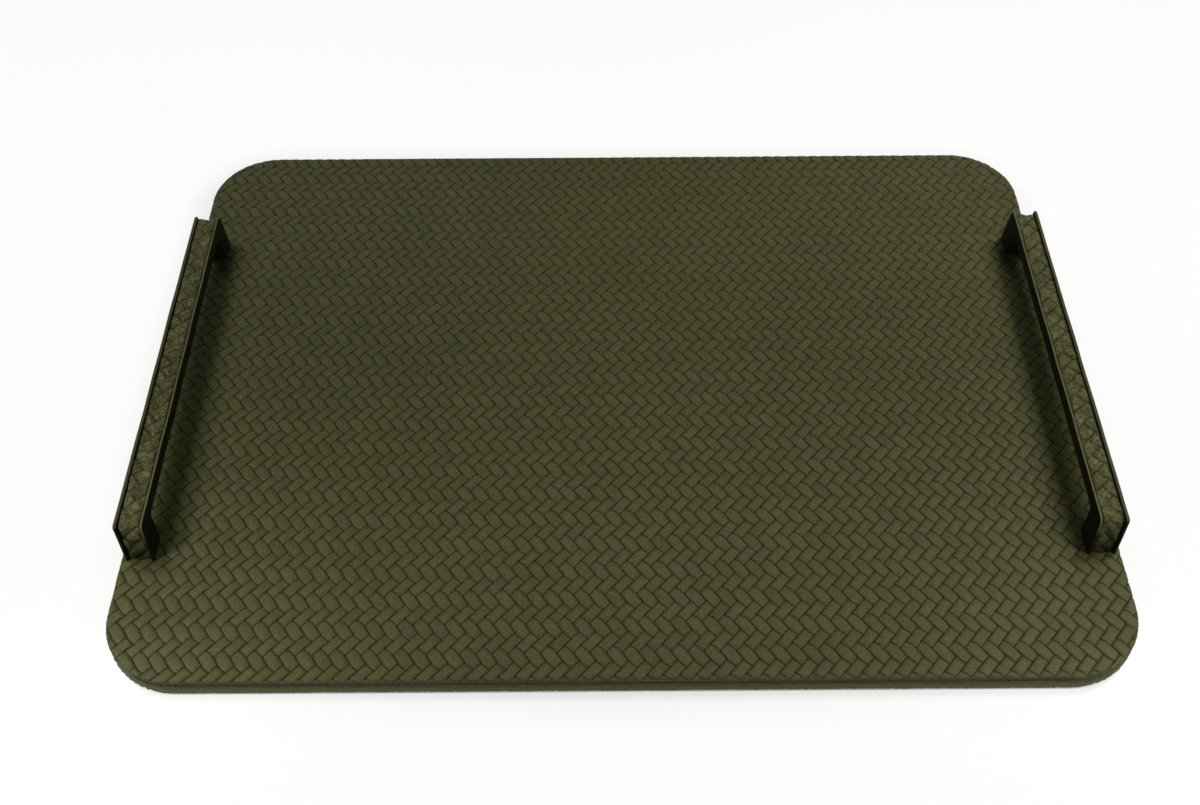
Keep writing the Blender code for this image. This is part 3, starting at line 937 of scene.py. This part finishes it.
def make_strip(name, material, place, start):
    """The woven strip up one end of a handle, over its bar and down the other end."""
    at, half = arch_path(HANDLE_LENGTH / 2, HANDLE_HEIGHT, STRIP_CORNER_RADIUS, LIP_HEIGHT - STRIP_RISE)
    half_width = CORE_WIDTH / 2 - FOOT_GAP
    bm = weave_grid(math.ceil((half + half_width) / HANDLE_WEAVE_WIDTH) + SPARE_SQUARES)
    centres = np.array([face.calc_center_median()[:2] for face in bm.faces])
    along, across = lattice_to_flat(centres, start, HANDLE_WEAVE_WIDTH)
    away = [face for face, s, t in zip(bm.faces, along, across)
            if abs(t) > half_width + HANDLE_WEAVE_WIDTH or abs(s) > half + HANDLE_WEAVE_WIDTH]
    bmesh.ops.delete(bm, geom=away, context="FACES")
    cut_squares(bm)
    trim_strip(bm, start, half, half_width)

    def over_the_bar(flat_x, flat_y, height):
        """Lays the flat strip over the arch, with its sides tucked down between the panels."""
        side = np.clip(flat_y, -half_width, half_width)
        shoulder = np.clip((np.abs(side) - (half_width - STRIP_SHOULDER)) / STRIP_SHOULDER, 0, 1)
        crumple = (np.sin(slant(flat_x, side, CRUMPLE_LENGTHS) + bend(flat_x, *CRUMPLE_BEND))
                   + FINE_CRUMPLE_SHARE * np.sin(slant(flat_x, side, FINE_CRUMPLE_LENGTHS)))
        lift = (STRIP_RELIEF_SHARE * height + STRIP_CRUMPLE * crumple) * (1 - shoulder)
        lift = lift - STRIP_SHOULDER_DROP * shoulder ** 2
        places = []
        for length, aside, rise in zip(flat_x, side, lift):
            (y, z), (way_y, way_z) = at(max(half - abs(length), 0))
            end = -1 if length < 0 else 1
            places.append((place[0] + aside, place[1] + end * (y + way_y * rise),
                           place[2] + z + way_z * rise))
        # The shoulders of the strip between the panels, and its ends towards the feet, are painted darker:
        # painted shade.
        foot = np.clip(1 - (half - np.abs(flat_x)) / STRIP_FOOT_LENGTH, 0, 1)
        soil = np.clip(shoulder + STRIP_FOOT_SHADE * foot, 0, STRIP_MOST_PAINTED_SHADE)
        even, change = STRIP_SEAM_SHARES
        return places, soil, even - change * np.sin(slant(flat_x, side, STRIP_SEAM_LENGTHS))

    return lay_weave(name, bm, start, HANDLE_WEAVE_WIDTH, over_the_bar, material), 2 * half


def make_handle(label, side, finishes):
    """Leather of one handle: two side panels, the woven strip and the finger gap's lining."""
    place = (side * HANDLE_CENTRE_X, -HANDLE_FRONT_SHIFT, TRAY_TOP)
    outer_face = HANDLE_WIDTH / 2
    inner_face = HANDLE_WIDTH / 2 - SIDE_PANEL_THICKNESS
    for facing, direction, radius in (("outer", side, OUTER_CORNER_RADIUS),
                                      ("inner", -side, INNER_CORNER_RADIUS)):
        name = f"{label}_{facing}_side_panel"
        panel = arch_piece(name + "_leather", outer_ring(radius), gap_ring(0), direction * inner_face,
                           direction * outer_face, PANEL_EDGE_ROUND, finishes["panel"], place, HAND_CUT_SIZE)
        keep_piece(panel, "smooth_dark_leather", name)
    start = HANDLE_WEAVE_STARTS[label]
    strip, length = make_strip(f"{label}_woven_strip_leather", finishes["strip"], place, start)
    keep_piece(strip, "woven_strip_leather", f"{label}_woven_strip")
    back = gap_ring(GRIP_LINING_RECESS + GRIP_LINING_THICKNESS)
    lining = arch_piece(f"{label}_grip_lining_leather", back, gap_ring(GRIP_LINING_RECESS),
                        -CORE_WIDTH / 2, CORE_WIDTH / 2, GRIP_EDGE_ROUND, finishes["grip"], place)
    keep_piece(lining, "dark_grip_leather", f"{label}_grip_lining")


def make_lining(material):
    """The suede lining of the underside, with rounded edges and one pressed line."""
    flat = (TRAY_LENGTH - 2 * LINING_INSET, TRAY_DEPTH - 2 * LINING_INSET)
    bm = bmesh.new()
    bmesh.ops.create_grid(bm, x_segments=1, y_segments=1, size=0.5)
    bmesh.ops.scale(bm, verts=bm.verts, vec=(*flat, 1))
    bmesh.ops.bevel(bm, geom=bm.verts[:], offset=TRAY_CORNER_RADIUS - LINING_INSET, offset_type="OFFSET",
                    segments=LINING_CORNER_SEGMENTS, profile=0.5, affect="VERTICES", material=-1)
    thicken(bm, bm.faces[:], (0, 0, LINING_THICKNESS))
    under = min(bm.faces, key=lambda face: face.normal.z)
    for width, depth in ((PRESSED_LINE_INSET, 0.0), (PRESSED_LINE_HALF_WIDTH, -PRESSED_LINE_DEPTH),
                         (PRESSED_LINE_HALF_WIDTH, PRESSED_LINE_DEPTH)):
        bmesh.ops.inset_region(bm, faces=[under], thickness=width, depth=depth)
    round_edges(bm, LINING_EDGE_ROUND, LINING_EDGE_SEGMENTS)
    piece = piece_from(bm, "underside_suede", material)
    piece.data.set_sharp_from_angle(angle=SMOOTH_ANGLE)
    keep_piece(piece, "brown_suede", "underside_lining")


def make_finishes():
    """The finish of every piece, by a short name."""
    return {
        "cover": woven_leather("woven_olive_leather", light=paint(0.0725, 0.0748, 0.0250),
                               dark=paint(0.0460, 0.0503, 0.0160), brown=paint(0.0765, 0.0640, 0.0268),
                               groove=paint(0.0175, 0.0148, 0.0042)),
        "strip": woven_leather("woven_strip_leather", light=paint(0.163, 0.165, 0.066),
                               dark=paint(0.056, 0.060, 0.021), brown=paint(0.128, 0.108, 0.042),
                               groove=paint(0.0150, 0.0122, 0.0034), crumple=1.0),
        "panel": smooth_leather("smooth_dark_leather", paint(0.0072, 0.0078, 0.0038),
                                paint(0.0150, 0.0148, 0.0080), paint(0.120, 0.115, 0.048), 0.50),
        "grip": smooth_leather("dark_grip_leather", paint(0.006, 0.007, 0.004),
                               paint(0.014, 0.014, 0.009), paint(0.012, 0.012, 0.008), 0.60),
        "lining": suede("brown_suede", paint(0.050, 0.041, 0.024), paint(0.082, 0.068, 0.042)),
        "board": bare_wood("board_wood", paint(0.46, 0.34, 0.20), paint(0.30, 0.20, 0.11), "X"),
        "core": bare_wood("handle_wood", paint(0.40, 0.27, 0.15), paint(0.24, 0.15, 0.08), "Y"),
        "card": pressed_card("grey_card", paint(0.32, 0.31, 0.28), paint(0.22, 0.21, 0.19)),
        "brass": turned_metal("insert_brass", paint(0.74, 0.54, 0.24), paint(0.45, 0.32, 0.14), 0.32),
        "steel": turned_metal("screw_steel", paint(0.58, 0.58, 0.56), paint(0.34, 0.34, 0.33), 0.28),
    }


def dress_inner_nodes(finishes):
    """The pieces inside keep their CAD shape and take a real finish."""
    finish_of = {"base_board": "board", "infill_card": "card"}
    for label in SIDES:
        finish_of[f"{label}_handle_core"] = "core"
        for end in ("front", "back"):
            finish_of[f"{label}_{end}_insert"] = "brass"
            finish_of[f"{label}_{end}_screw"] = "steel"
    for name, finish in finish_of.items():
        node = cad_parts[name]
        if not node.material_slots:
            node.data.materials.append(None)
        node.material_slots[0].material = finishes[finish]


def make_floor():
    """A pale floor that keeps the tray's soft shadow and reads as white to the eye."""
    finish = Finish("pale_floor", roughness=0.9, specular=0.1)
    finish.shader.inputs["Base Color"].default_value = FLOOR_COLOUR
    place = finish.place()
    over_x, over_y = [
        (finish.part(place, axis).distance() - MILLIMETRES * (side / 2 - TRAY_CORNER_RADIUS)).most(0.0)
        for axis, side in (("X", TRAY_LENGTH), ("Y", TRAY_DEPTH))]
    away = (over_x * over_x + over_y * over_y).root() - MILLIMETRES * TRAY_CORNER_RADIUS
    clear = away.rise(0.0, SHADOW_REACH)
    white = GLOW_NEAR_SHARE + (GLOW_FAR_SHARE - GLOW_NEAR_SHARE) * clear
    white = white * away.distance().rise(0.0, CONTACT_REACH)
    glow = finish.node("ShaderNodeEmission", {}, {"Color": GLOW_COLOUR, "Strength": 1.0})
    lit = Signal(finish, finish.shader.outputs[0])
    shown = finish.node("ShaderNodeMixShader", {}, {0: finish.seen() * white, 1: lit, 2: glow})
    finish.tree.links.new(shown.socket, finish.tree.nodes["Material Output"].inputs["Surface"])
    bm = bmesh.new()
    bmesh.ops.create_grid(bm, x_segments=1, y_segments=1, size=FLOOR_HALF_SIZE)
    piece_from(bm, "floor", finish.material)


def make_lamps():
    """Soft lamps round the tray, each turned to the part that it lights."""
    for name, (place, target, width, length, power, beam) in LAMPS.items():
        lamp = bpy.data.lights.new(name, "AREA")
        lamp.shape = "RECTANGLE"
        lamp.size = width
        lamp.size_y = length
        lamp.energy = power
        lamp.spread = math.radians(beam)
        obj = bpy.data.objects.new(name, lamp)
        obj.location = place
        aim = Vector(target) - Vector(place)
        obj.rotation_euler = aim.to_track_quat("-Z", "Y").to_euler()
        bpy.context.scene.collection.objects.link(obj)


def make_world():
    """A dim world, which the eye sees as plain white near and below the horizon."""
    world = bpy.data.worlds.new("studio")
    world.use_nodes = True
    bench = NodeBench(world.node_tree)
    height = bench.part(bench.node("ShaderNodeTexCoord", output="Generated"), "Z")
    white = bench.seen() * (1.0 - height.rise(*WHITE_SKY_TOP))
    strength = WORLD_STRENGTH + (1.0 - WORLD_STRENGTH) * white
    background = bench.tree.nodes["Background"]
    background.inputs["Color"].default_value = WORLD_COLOUR
    bench.tree.links.new(strength.socket, background.inputs["Strength"])
    bpy.context.scene.world = world


def make_camera():
    """The camera at the photo's viewing angle."""
    flat = math.cos(CAMERA_ELEVATION)
    back = Vector((math.sin(CAMERA_AZIMUTH) * flat, -math.cos(CAMERA_AZIMUTH) * flat,
                   math.sin(CAMERA_ELEVATION)))
    right = (-back).cross(Vector((0, 0, 1))).normalized()
    up = right.cross(-back)
    turned_right = right * math.cos(CAMERA_ROLL) + up * math.sin(CAMERA_ROLL)
    turned_up = -right * math.sin(CAMERA_ROLL) + up * math.cos(CAMERA_ROLL)
    camera = bpy.data.cameras.new("camera")
    camera.lens = CAMERA_LENS
    camera.sensor_width = CAMERA_SENSOR
    camera.sensor_fit = "HORIZONTAL"
    camera.clip_start = CAMERA_CLIP_START
    obj = bpy.data.objects.new("camera", camera)
    axes = Matrix((turned_right, turned_up, back)).transposed().to_4x4()
    obj.matrix_world = Matrix.Translation(CAMERA_TARGET + back * CAMERA_DISTANCE) @ axes
    bpy.context.scene.collection.objects.link(obj)
    bpy.context.scene.camera = obj


def main():
    """Makes the whole scene, the camera first."""
    make_camera()
    make_lamps()
    make_world()
    make_floor()
    finishes = make_finishes()
    make_cover(finishes["cover"])
    for label, side in SIDES.items():
        make_handle(label, side, finishes)
    make_lining(finishes["lining"])
    dress_inner_nodes(finishes)
    bpy.context.scene.view_settings.view_transform = "Standard"


main()
